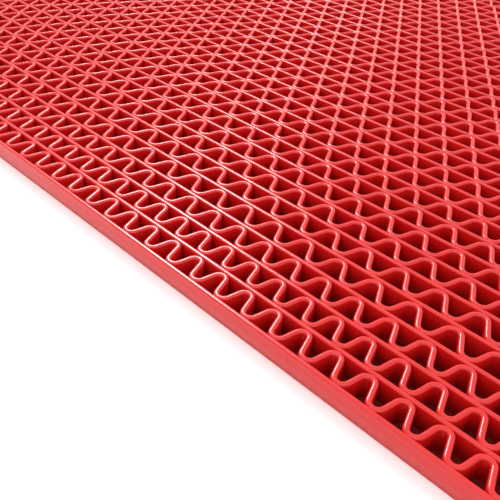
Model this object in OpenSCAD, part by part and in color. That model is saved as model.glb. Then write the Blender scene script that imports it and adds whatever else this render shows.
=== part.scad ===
// Open-grid floor mat of soft PVC. Straight strips stand on edge side by side, and between each
// two of them stands a strip bent into a round, leaning wave whose crests are welded to both
// neighbours. The cells between them are open right through, so water and grit fall out below.
// The mat lies in XY with its strips along X, and its origin is the middle of its underside.

/* [Mat] */
// Length of every strip, along X
mat_length = 600; // [300:10:900]
// Number of wave rows across the mat
row_count = 33; // [10:1:33]
// Distance from one straight strip to the next
strip_pitch = 12; // [12:0.5:14]
// Height of the mat
mat_height = 8.2; // [5:0.1:12]

/* [Strips] */
// Thickness of a straight strip
strip_thickness = 1.7; // [1.2:0.1:1.8]
// Thickness of a wave strip
wave_thickness = 2.1; // [1.6:0.1:2.2]
// Rounding along both top edges of a straight strip
edge_round = 0.5; // [0.2:0.1:0.5]

/* [Waves] */
// Length of one wave in the inner rows
wave_pitch = 15.6; // [14:0.1:17]
// Share of a wave that its steep side takes, so half is an upright wave
steep_share = 0.45; // [0.44:0.01:0.5]
// Radius of each bend in the middle of the strip, as a share of the wave's length
bend_share = 0.2; // [0.16:0.005:0.21]
// Length of a wave in the three rows nearest each long edge, as shares of the inner length
edge_row_shares = [0.81, 0.81, 0.887];
// Place along X of one trough in each of those three rows
edge_row_starts = [158.1, 148.1, 144.4];
// Place along X of one trough in the first inner rows
inner_row_start = 123.4; // [100:0.1:140]
// Row at which the inner rows start to slip along X
slip_first_row = 1.3; // [0:0.1:5]
// How much more each row slips than the row before it
slip_growth = 0.89; // [0.2:0.01:2]
// The most that a row slips from the row before it
slip_limit = 7.27; // [0:0.01:12]

/* [Colours] */
// Colour of the soft PVC
mat_colour = [0.84, 0.16, 0.16];

/* [Hidden] */
// Straight strips go two to a node between the two edge strips, and every wave has its own node.
pair_count = ceil((row_count - 1) / 2);
function numbered(name, number) = str(name, number < 10 ? "0" : "", number);
// Hair gap between a crest and the strip that it is welded to, so that no two solids overlap
weld_gap = 0.01;
// A bend's arcs stand this far outside tangent arcs, so that they cross the legs cleanly
arc_lap = 0.02;
// Rows at each long edge whose waves are shorter
edge_rows = len(edge_row_shares);
// Angle by which a cutting kite stops short of both ends of its bend
cut_inset = 1;
// How far a cutting body stands out of what it cuts
cut_margin = 1;
arc_sides = 96;

// Y of the straight strip that stands before row number `place`, counted from 0 at the front
function strip_y(place) = (place - row_count / 2) * strip_pitch;

// Rows between this row and the nearest long edge
function rows_to_edge(row) = min(row, row_count - 1 - row);

function row_wave_pitch(row) =
    wave_pitch * (rows_to_edge(row) < edge_rows ? edge_row_shares[rows_to_edge(row)] : 1);

// Slip of an inner row: it grows with the square of the rows up to the limit, then evenly.
function row_slip(row) =
    let (steady_row = min(row, slip_first_row + slip_limit / slip_growth))
        slip_growth / 2 * pow(steady_row - slip_first_row, 2) + slip_limit * (row - steady_row);

function row_start(row) =
    rows_to_edge(row) < edge_rows
        ? edge_row_starts[rows_to_edge(row)]
        : inner_row_start + row_slip(row);

// Slope of the straight leg that joins two bends of this radius, `run` along and `drop` down
function leg_slope(run, drop, radius) = atan2(drop, run) + asin(2 * radius / norm([run, drop]));

function direction(angle) = [cos(angle), sin(angle)];

// Radius of a wall where the strip is bent: `side` is 1 for its outer wall and -1 for its inner
function wall_radius(radius, side) = radius + side * wave_thickness / 2;

// How far round from the end of a bend its lapped arc crosses the straight wall of the leg
function lap_angle(radius, side) =
    acos(wall_radius(radius, side) / (wall_radius(radius, side) + arc_lap));

// How far a cutting kite reaches, which is well outside the strip
function cut_reach(radius) = wall_radius(radius, 1) + 2 * cut_margin;

// Upright kite around the middle of a bend: its far sides run along the two legs, `reach` from the
// middle, and it stands `margin` out of the strip at top and bottom
module bend_kite(from_angle, to_angle, reach, margin) {
    half_turn = (to_angle - from_angle) / 2;
    translate([0, 0, -margin])
        linear_extrude(mat_height + 2 * margin)
            polygon([
                [0, 0],
                reach * direction(from_angle),
                reach / cos(half_turn) * direction(from_angle + half_turn),
                reach * direction(to_angle)
            ]);
}

module bend_core(radius, side, margin) {
    translate([0, 0, -margin])
        cylinder(h = mat_height + 2 * margin, r = wall_radius(radius, side) + arc_lap, $fn = arc_sides);
}

// What rounds the inside of a bend
module bend_fill(radius, from_angle, to_angle) {
    inset = (lap_angle(radius, 1) + lap_angle(radius, -1)) / 2;
    difference() {
        bend_kite(from_angle + inset, to_angle - inset, radius, 0);
        bend_core(radius, -1, cut_margin);
    }
}

// What is cut from the outside of a bend to round it
module bend_cut(radius, from_angle, to_angle) {
    difference() {
        bend_kite(from_angle + cut_inset, to_angle - cut_inset, cut_reach(radius), cut_margin);
        bend_core(radius, 1, 2 * cut_margin);
    }
}

// A zigzag of straight legs with sharp corners, whose bends are then rounded inside and outside
module wave(pitch, start, first, last) {
    radius = bend_share * pitch;
    crest_y = (strip_pitch - strip_thickness - wave_thickness) / 2 - weld_gap - arc_lap - radius;
    steep_run = steep_share * pitch;
    steep_slope = leg_slope(steep_run, 2 * crest_y, radius);
    long_slope = leg_slope(pitch - steep_run, 2 * crest_y, radius);
    corner = direction(90 + (steep_slope - long_slope) / 2) / cos((steep_slope + long_slope) / 2);
    outer = wall_radius(radius, 1) * corner;
    inner = wall_radius(radius, -1) * corner;
    trough = [0, -crest_y];
    crest = [steep_run, crest_y];
    function along(number) = [start + number * pitch, 0];
    upper = [for (number = [first : last]) for (point = [trough - inner, crest + outer])
        along(number) + point];
    lower = [for (number = [last : -1 : first]) for (point = [crest + inner, trough - outer])
        along(number) + point];
    difference() {
        union() {
            linear_extrude(mat_height)
                polygon(concat(upper, lower));
            for (number = [first : last])
                translate(along(number)) {
                    translate(trough) bend_fill(radius, 270 - long_slope, 270 + steep_slope);
                    translate(crest) bend_fill(radius, 90 - long_slope, 90 + steep_slope);
                }
        }
        for (number = [first : last])
            translate(along(number)) {
                translate(trough) bend_cut(radius, 270 - long_slope, 270 + steep_slope);
                translate(crest) bend_cut(radius, 90 - long_slope, 90 + steep_slope);
            }
    }
}

// The wave strip of one row, cut square at both ends of the mat
module wave_strip(row) {
    pitch = row_wave_pitch(row);
    start = row_start(row);
    first = floor((-mat_length / 2 - start) / pitch);
    last = ceil((mat_length / 2 - start) / pitch);
    color(mat_colour)
        translate([0, strip_y(row + 0.5), 0])
            intersection() {
                wave(pitch, start, first, last);
                translate([-mat_length / 2, -strip_pitch / 2, -cut_margin])
                    cube([mat_length, strip_pitch, mat_height + 2 * cut_margin]);
            }
}

// Cross-section of a straight strip, standing on the floor with its two top edges rounded
module strip_section() {
    translate([-strip_thickness / 2, 0])
        square([strip_thickness, mat_height - edge_round]);
    translate([edge_round - strip_thickness / 2, 0])
        square([strip_thickness - 2 * edge_round, mat_height]);
    for (side = [-1, 1])
        translate([side * (strip_thickness / 2 - edge_round), mat_height - edge_round])
            circle(r = edge_round, $fn = 32);
}

// The straight strip at the front of row number `place`
module straight_strip(place) {
    color(mat_colour)
        translate([-mat_length / 2, strip_y(place), 0])
            rotate([90, 0, 90])
                linear_extrude(mat_length)
                    strip_section();
}

straight_strip(0);  // edge_strip_front
straight_strip(row_count);  // edge_strip_back
for (pair = [1 : pair_count])
    for (place = [2 * pair - 1 : min(2 * pair, row_count - 1)])
            straight_strip(place);
for (row = [1 : row_count])
    wave_strip(row - 1);
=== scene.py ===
import math

import bmesh
import bpy
from mathutils import Euler, Matrix, Vector


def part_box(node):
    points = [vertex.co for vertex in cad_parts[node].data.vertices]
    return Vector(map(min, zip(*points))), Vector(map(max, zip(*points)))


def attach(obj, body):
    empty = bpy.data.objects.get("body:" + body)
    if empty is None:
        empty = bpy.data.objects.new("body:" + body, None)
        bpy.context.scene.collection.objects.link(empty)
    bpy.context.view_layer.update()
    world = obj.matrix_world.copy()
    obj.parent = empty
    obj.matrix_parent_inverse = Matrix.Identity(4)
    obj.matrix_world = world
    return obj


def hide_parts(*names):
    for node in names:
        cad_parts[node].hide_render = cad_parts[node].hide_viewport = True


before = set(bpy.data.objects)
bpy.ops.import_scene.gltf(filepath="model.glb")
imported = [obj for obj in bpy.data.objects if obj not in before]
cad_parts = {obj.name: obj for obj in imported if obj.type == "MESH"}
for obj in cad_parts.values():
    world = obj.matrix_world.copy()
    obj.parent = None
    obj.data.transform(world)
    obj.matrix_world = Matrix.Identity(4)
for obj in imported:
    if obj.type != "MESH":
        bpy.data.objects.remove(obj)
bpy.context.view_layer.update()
print("frame loaded:", len(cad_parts), "nodes")

# Sizes taken from the frame
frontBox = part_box("edge_strip_front")
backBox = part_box("edge_strip_back")
waveNodes = sorted(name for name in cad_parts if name.startswith("wave_strip_"))
pairNodes = sorted(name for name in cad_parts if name.startswith("straight_strips_"))

mat = {
    "ends": (frontBox[0].x, frontBox[1].x),
    "height": frontBox[1].z,
    "thickness": frontBox[1].y - frontBox[0].y,
    "frontY": (frontBox[0].y + frontBox[1].y) / 2,
    "backY": (backBox[0].y + backBox[1].y) / 2,
    "rows": len(waveNodes),
}
mat["pitch"] = (mat["backY"] - mat["frontY"]) / mat["rows"]


def stripY(place):  # middle of the straight strip in front of row number `place`
    return mat["frontY"] + place * mat["pitch"]


mergeReach = 2e-6  # points nearer than this are one
sharpAngle = math.radians(50)


def finishPiece(bm, name, material):
    bmesh.ops.remove_doubles(bm, verts=bm.verts, dist=mergeReach)
    bmesh.ops.recalc_face_normals(bm, faces=bm.faces)
    mesh = bpy.data.meshes.new(name)
    bm.to_mesh(mesh)
    bm.free()
    mesh.shade_smooth()
    mesh.set_sharp_from_angle(angle=sharpAngle)
    piece = bpy.data.objects.new(name, mesh)
    bpy.context.scene.collection.objects.link(piece)
    mesh.materials.append(material)
    return piece


def showPiece(piece, *nodes):
    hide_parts(*nodes)
    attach(piece, "root")


def stripSection(bm, shape):  # one upright face across a strip, its top corners rounded, in the YZ plane
    thickness, height = shape["thickness"], mat["height"]
    grid = bmesh.ops.create_grid(bm, x_segments=1, y_segments=1, size=0.5)
    corners = grid["verts"]
    bmesh.ops.rotate(bm, verts=corners, matrix=Matrix.Rotation(math.radians(90), 3, "Y"))
    bmesh.ops.scale(bm, verts=corners, vec=(1, thickness, height))
    bmesh.ops.translate(bm, verts=corners, vec=(0, 0, height / 2))
    top = [v for v in corners if v.co.z > height / 2]
    foot = [v for v in corners if v.co.z < height / 2]
    bmesh.ops.bevel(bm, geom=top, affect="VERTICES", offset=shape["topRound"], offset_type="OFFSET",
                    segments=shape["topSteps"], profile=0.5, material=-1)
    bmesh.ops.bevel(bm, geom=foot, affect="VERTICES", offset=shape["footRound"], offset_type="OFFSET",
                    segments=1, profile=0.5, material=-1)
    rim = list(bm.edges)
    bmesh.ops.delete(bm, geom=list(bm.faces), context="FACES_ONLY")
    return rim


def sweptEdges(result):
    return [g for g in result if isinstance(g, bmesh.types.BMEdge)]


def sweptVerts(result):
    return [g for g in result if isinstance(g, bmesh.types.BMVert)]


def closeEnds(bm, name):
    loose = [e for e in bm.edges if e.is_boundary]
    bmesh.ops.holes_fill(bm, edges=loose, sides=0)
    gaps = [e for e in bm.edges if not e.is_manifold]
    if gaps:
        print(name, "has", len(gaps), "open edges")


def linearColour(hexColour):
    channels = [int(hexColour[i:i + 2], 16) / 255 for i in (1, 3, 5)]
    return tuple(c / 12.92 if c <= 0.04045 else ((c + 0.055) / 1.055) ** 2.4 for c in channels) + (1,)


def addNode(tree, kind, settings=None, links=None):
    node = tree.nodes.new(kind)
    for key, value in (settings or {}).items():
        if isinstance(key, int) or key in node.inputs:
            node.inputs[key].default_value = value
        else:
            setattr(node, key, value)
    for key, source in (links or {}).items():
        tree.links.new(source, node.inputs[key])
    return node


def softPvcExtruded():
    # Plasticised PVC, extruded as thin strips: a wet gloss, a faint waxy glow where light gets in,
    # slow drifts of the pigment, and a fine orange-peel mottle in the gloss and the surface.
    look = {
        "pigment": "#D61E1D",
        "deepPigment": "#C81514",
        "driftSize": 0.045,     # metres between lighter and darker stretches
        "mottleSize": 0.0022,   # orange-peel of the cooled skin
        "glow": 0.12,
        "glowReach": 0.0015,
        "roughLow": 0.19,
        "roughHigh": 0.27,
        "skinHeight": 0.000012,
    }
    material = bpy.data.materials.new("softPvcExtruded")
    material.use_nodes = True
    tree = material.node_tree
    tree.nodes.clear()
    place = addNode(tree, "ShaderNodeTexCoord").outputs["Object"]
    drift = addNode(tree, "ShaderNodeTexNoise",
                    {"Scale": 1 / look["driftSize"], "Detail": 3.0, "Roughness": 0.55}, {"Vector": place})
    mottle = addNode(tree, "ShaderNodeTexNoise",
                     {"Scale": 1 / look["mottleSize"], "Detail": 2.0, "Roughness": 0.5}, {"Vector": place})
    colour = addNode(tree, "ShaderNodeMix", {"data_type": "RGBA"}, {0: drift.outputs["Fac"]})
    colour.inputs[6].default_value = linearColour(look["deepPigment"])
    colour.inputs[7].default_value = linearColour(look["pigment"])
    gloss = addNode(tree, "ShaderNodeMapRange",
                    {"From Min": 0.3, "From Max": 0.7,
                     "To Min": look["roughLow"], "To Max": look["roughHigh"]},
                    {"Value": mottle.outputs["Fac"]})
    skin = addNode(tree, "ShaderNodeBump", {"Strength": 0.5, "Distance": look["skinHeight"]},
                   {"Height": mottle.outputs["Fac"]})
    shader = addNode(tree, "ShaderNodeBsdfPrincipled",
                     {"IOR": 1.53, "Subsurface Weight": look["glow"], "Subsurface Scale": look["glowReach"],
                      "Subsurface Radius": (1.0, 0.18, 0.12)},
                     {"Base Color": colour.outputs[2], "Roughness": gloss.outputs["Result"],
                      "Normal": skin.outputs["Normal"]})
    addNode(tree, "ShaderNodeOutputMaterial", None, {"Surface": shader.outputs["BSDF"]})
    return material


def studioPaper():
    # Matt white sweep paper: bright, no gloss
    material = bpy.data.materials.new("studioPaper")
    material.use_nodes = True
    shader = material.node_tree.nodes["Principled BSDF"]
    shader.inputs["Base Color"].default_value = linearColour("#FCFCFC")
    shader.inputs["Roughness"].default_value = 0.9
    return material


def paintedShadeSheet():
    # Painted shade: a flat dark red sheet laid under the mat, so that its cells go dark with depth as they
    # would in shadow
    material = bpy.data.materials.new("paintedShadeSheet")
    material.use_nodes = True
    shader = material.node_tree.nodes["Principled BSDF"]
    shader.inputs["Base Color"].default_value = linearColour("#78100E")
    shader.inputs["Roughness"].default_value = 1.0
    return material


softPvc = softPvcExtruded()
print("materials made")

# The strips that run straight from end to end
straightShape = {
    "thickness": mat["thickness"],
    "topRound": 0.0005, "topSteps": 3,
    "footRound": 0.00012,
}


def straightStrip(bm, place):
    part = bmesh.new()
    rim = stripSection(part, straightShape)
    bmesh.ops.translate(part, verts=part.verts, vec=(mat["ends"][0], stripY(place), 0))
    run = bmesh.ops.extrude_edge_only(part, edges=rim)["geom"]
    bmesh.ops.translate(part, verts=sweptVerts(run), vec=(mat["ends"][1] - mat["ends"][0], 0, 0))
    closeEnds(part, "straight strip")
    addTo(bm, part)


def addTo(bm, part):
    mesh = bpy.data.meshes.new("part")
    part.to_mesh(mesh)
    part.free()
    bm.from_mesh(mesh)
    bpy.data.meshes.remove(mesh)


def straightPiece(node, places):
    bm = bmesh.new()
    for place in places:
        straightStrip(bm, place)
    showPiece(finishPiece(bm, node + "_skin", softPvc), node)


straightPiece("edge_strip_front", [0])
straightPiece("edge_strip_back", [mat["rows"]])
for number, node in enumerate(pairNodes):
    straightPiece(node, [p for p in (2 * number + 1, 2 * number + 2) if p < mat["rows"]])
print("straight strips made")

# The strips bent into waves, whose crests run a little way into the straight strips, as a weld does
waveShape = {
    "thickness": 0.0021,
    "topRound": 0.00085, "topSteps": 4,
    "footRound": 0.00012,
    "pitch": 0.0156,             # length of one inner wave
    "steepShare": 0.45,          # share of it that the steep side takes
    "bendShare": 0.2,            # middle radius of a bend, as a share of the wave
    "bendSteps": 9,
    "weldDepth": 0.0003,         # how far a crest runs into the straight strip
    "edgeShares": (0.81, 0.81, 0.887),        # shorter waves in the three rows along each edge
    "edgeStarts": (0.1581, 0.1481, 0.1444),   # place of one trough in each of those rows
    "innerStart": 0.1234,
    "slipFirst": 1.3,            # row at which the inner rows start to slip along X
    "slipGrowth": 0.00089,       # how much more each row slips than the one before it
    "slipLimit": 0.00727,
}


def wavePlan(row):  # length of a wave and the place of one trough, for one row
    inwards = min(row, mat["rows"] - 1 - row)
    if inwards < len(waveShape["edgeShares"]):
        return waveShape["pitch"] * waveShape["edgeShares"][inwards], waveShape["edgeStarts"][inwards]
    steady = min(row, waveShape["slipFirst"] + waveShape["slipLimit"] / waveShape["slipGrowth"])
    slip = waveShape["slipGrowth"] / 2 * (steady - waveShape["slipFirst"]) ** 2
    return waveShape["pitch"], waveShape["innerStart"] + slip + waveShape["slipLimit"] * (row - steady)


def legSlope(run, drop, radius):
    return math.atan2(drop, run) + math.asin(2 * radius / math.hypot(run, drop))


def bendRound(bm, rim, middle, turn):
    swept = bmesh.ops.spin(bm, geom=rim, cent=middle, axis=(0, 0, 1), dvec=(0, 0, 0),
                           angle=turn, steps=waveShape["bendSteps"], use_duplicate=False)["geom_last"]
    return sweptEdges(swept)


def runStraight(bm, rim, step):
    run = bmesh.ops.extrude_edge_only(bm, edges=rim)["geom"]
    bmesh.ops.translate(bm, verts=sweptVerts(run), vec=step)
    ends = set(sweptVerts(run))
    return [e for e in sweptEdges(run) if e.verts[0] in ends and e.verts[1] in ends]


def oneWave(pitch):  # a tube with open ends, from the start of one trough's bend to the next
    radius = waveShape["bendShare"] * pitch
    room = mat["pitch"] - mat["thickness"] - waveShape["thickness"]
    crestY = room / 2 + waveShape["weldDepth"] - radius
    steepRun = waveShape["steepShare"] * pitch
    longRun = pitch - steepRun
    steep = legSlope(steepRun, 2 * crestY, radius)
    long = legSlope(longRun, 2 * crestY, radius)
    steepLeg = math.sqrt(steepRun ** 2 + 4 * crestY ** 2 - 4 * radius ** 2)
    longLeg = math.sqrt(longRun ** 2 + 4 * crestY ** 2 - 4 * radius ** 2)
    bm = bmesh.new()
    rim = stripSection(bm, waveShape)
    bmesh.ops.translate(bm, verts=bm.verts, vec=(0, -radius, 0))
    bmesh.ops.rotate(bm, verts=bm.verts, cent=(0, 0, 0), matrix=Matrix.Rotation(-long, 3, "Z"))
    bmesh.ops.translate(bm, verts=bm.verts, vec=(0, -crestY, 0))
    rim = bendRound(bm, rim, (0, -crestY, 0), long + steep)
    rim = runStraight(bm, rim, (steepLeg * math.cos(steep), steepLeg * math.sin(steep), 0))
    rim = bendRound(bm, rim, (steepRun, crestY, 0), -(long + steep))
    runStraight(bm, rim, (longLeg * math.cos(long), -longLeg * math.sin(long), 0))
    return bm


def wavePiece(row, node):
    pitch, start = wavePlan(row)
    first = math.floor((mat["ends"][0] - start) / pitch)
    last = math.ceil((mat["ends"][1] - start) / pitch)
    bm = oneWave(pitch)
    unit = list(bm.verts) + list(bm.edges) + list(bm.faces)
    bmesh.ops.translate(bm, verts=bm.verts, vec=(start + first * pitch, stripY(row + 0.5), 0))
    for number in range(first + 1, last + 1):
        copy = bmesh.ops.duplicate(bm, geom=unit)["geom"]
        bmesh.ops.translate(bm, verts=sweptVerts(copy), vec=((number - first) * pitch, 0, 0))
    bmesh.ops.remove_doubles(bm, verts=bm.verts, dist=mergeReach)
    for end, side in zip(mat["ends"], (-1, 1)):
        bmesh.ops.bisect_plane(bm, geom=list(bm.verts) + list(bm.edges) + list(bm.faces), dist=1e-7,
                               plane_co=(end, 0, 0), plane_no=(side, 0, 0), clear_outer=True)
    closeEnds(bm, node)
    showPiece(finishPiece(bm, node + "_skin", softPvc), node)


for row, node in enumerate(waveNodes):
    wavePiece(row, node)
print("wave strips made")

# Floor, light and camera
studio = {
    "floorSize": 6.0,
    "shadeSheetInset": 0.004,         # the painted-shade sheet ends this far inside the mat's outline
    "shadeSheetLift": 0.00004,
    "skyStrength": 1.0,
    "lights": {                  # place, size and power
        "topLight": ((0.4, -0.5, 1.3), 1.6, 6.0),
        "backLight": ((-1.0, 0.6, 1.1), 0.4, 15.0),
    },
}


def makeSheet(name, width, depth, lift, material):
    bm = bmesh.new()
    bmesh.ops.create_grid(bm, x_segments=1, y_segments=1, size=0.5)
    bmesh.ops.scale(bm, verts=bm.verts, vec=(width, depth, 1))
    bmesh.ops.translate(bm, verts=bm.verts, vec=(0, 0, lift))
    mesh = bpy.data.meshes.new(name)
    bm.to_mesh(mesh)
    bm.free()
    sheet = bpy.data.objects.new(name, mesh)
    bpy.context.scene.collection.objects.link(sheet)
    mesh.materials.append(material)


def makeLight(name, place, size, power):  # it faces the middle of the mat
    lamp = bpy.data.lights.new(name, "AREA")
    lamp.shape = "SQUARE"
    lamp.size = size
    lamp.energy = power
    light = bpy.data.objects.new(name, lamp)
    light.location = place
    light.rotation_euler = (-Vector(place)).to_track_quat("-Z", "Y").to_euler()
    bpy.context.scene.collection.objects.link(light)


def makeSky():
    world = bpy.data.worlds.new("softRoom")
    bpy.context.scene.world = world
    world.use_nodes = True
    background = world.node_tree.nodes["Background"]
    background.inputs["Color"].default_value = (1, 1, 1, 1)
    background.inputs["Strength"].default_value = studio["skyStrength"]


view = {
    "place": (0.264, -0.3128, 0.153),
    "turn": (54.187, -1.686, 46.448),     # degrees
    "lens": 50.4,
    "sensor": 36,
    "nearest": 0.01,
}


def makeCamera():
    lens = bpy.data.cameras.new("camera")
    lens.lens = view["lens"]
    lens.sensor_width = view["sensor"]
    lens.clip_start = view["nearest"]
    camera = bpy.data.objects.new("camera", lens)
    camera.location = view["place"]
    camera.rotation_euler = Euler([math.radians(a) for a in view["turn"]])
    bpy.context.scene.collection.objects.link(camera)
    bpy.context.scene.camera = camera


makeSheet("studioFloor", studio["floorSize"], studio["floorSize"], 0, studioPaper())
# Painted shade: a dark red sheet just above the floor under the mat, which darkens the depths of the cells
makeSheet("underMatPaintedShade", mat["ends"][1] - mat["ends"][0] - 2 * studio["shadeSheetInset"],
          mat["backY"] - mat["frontY"] - 2 * studio["shadeSheetInset"], studio["shadeSheetLift"], paintedShadeSheet())
makeSky()
for name, (place, size, power) in studio["lights"].items():
    makeLight(name, place, size, power)
makeCamera()
bpy.context.scene.view_settings.view_transform = "Standard"
print("studio made")
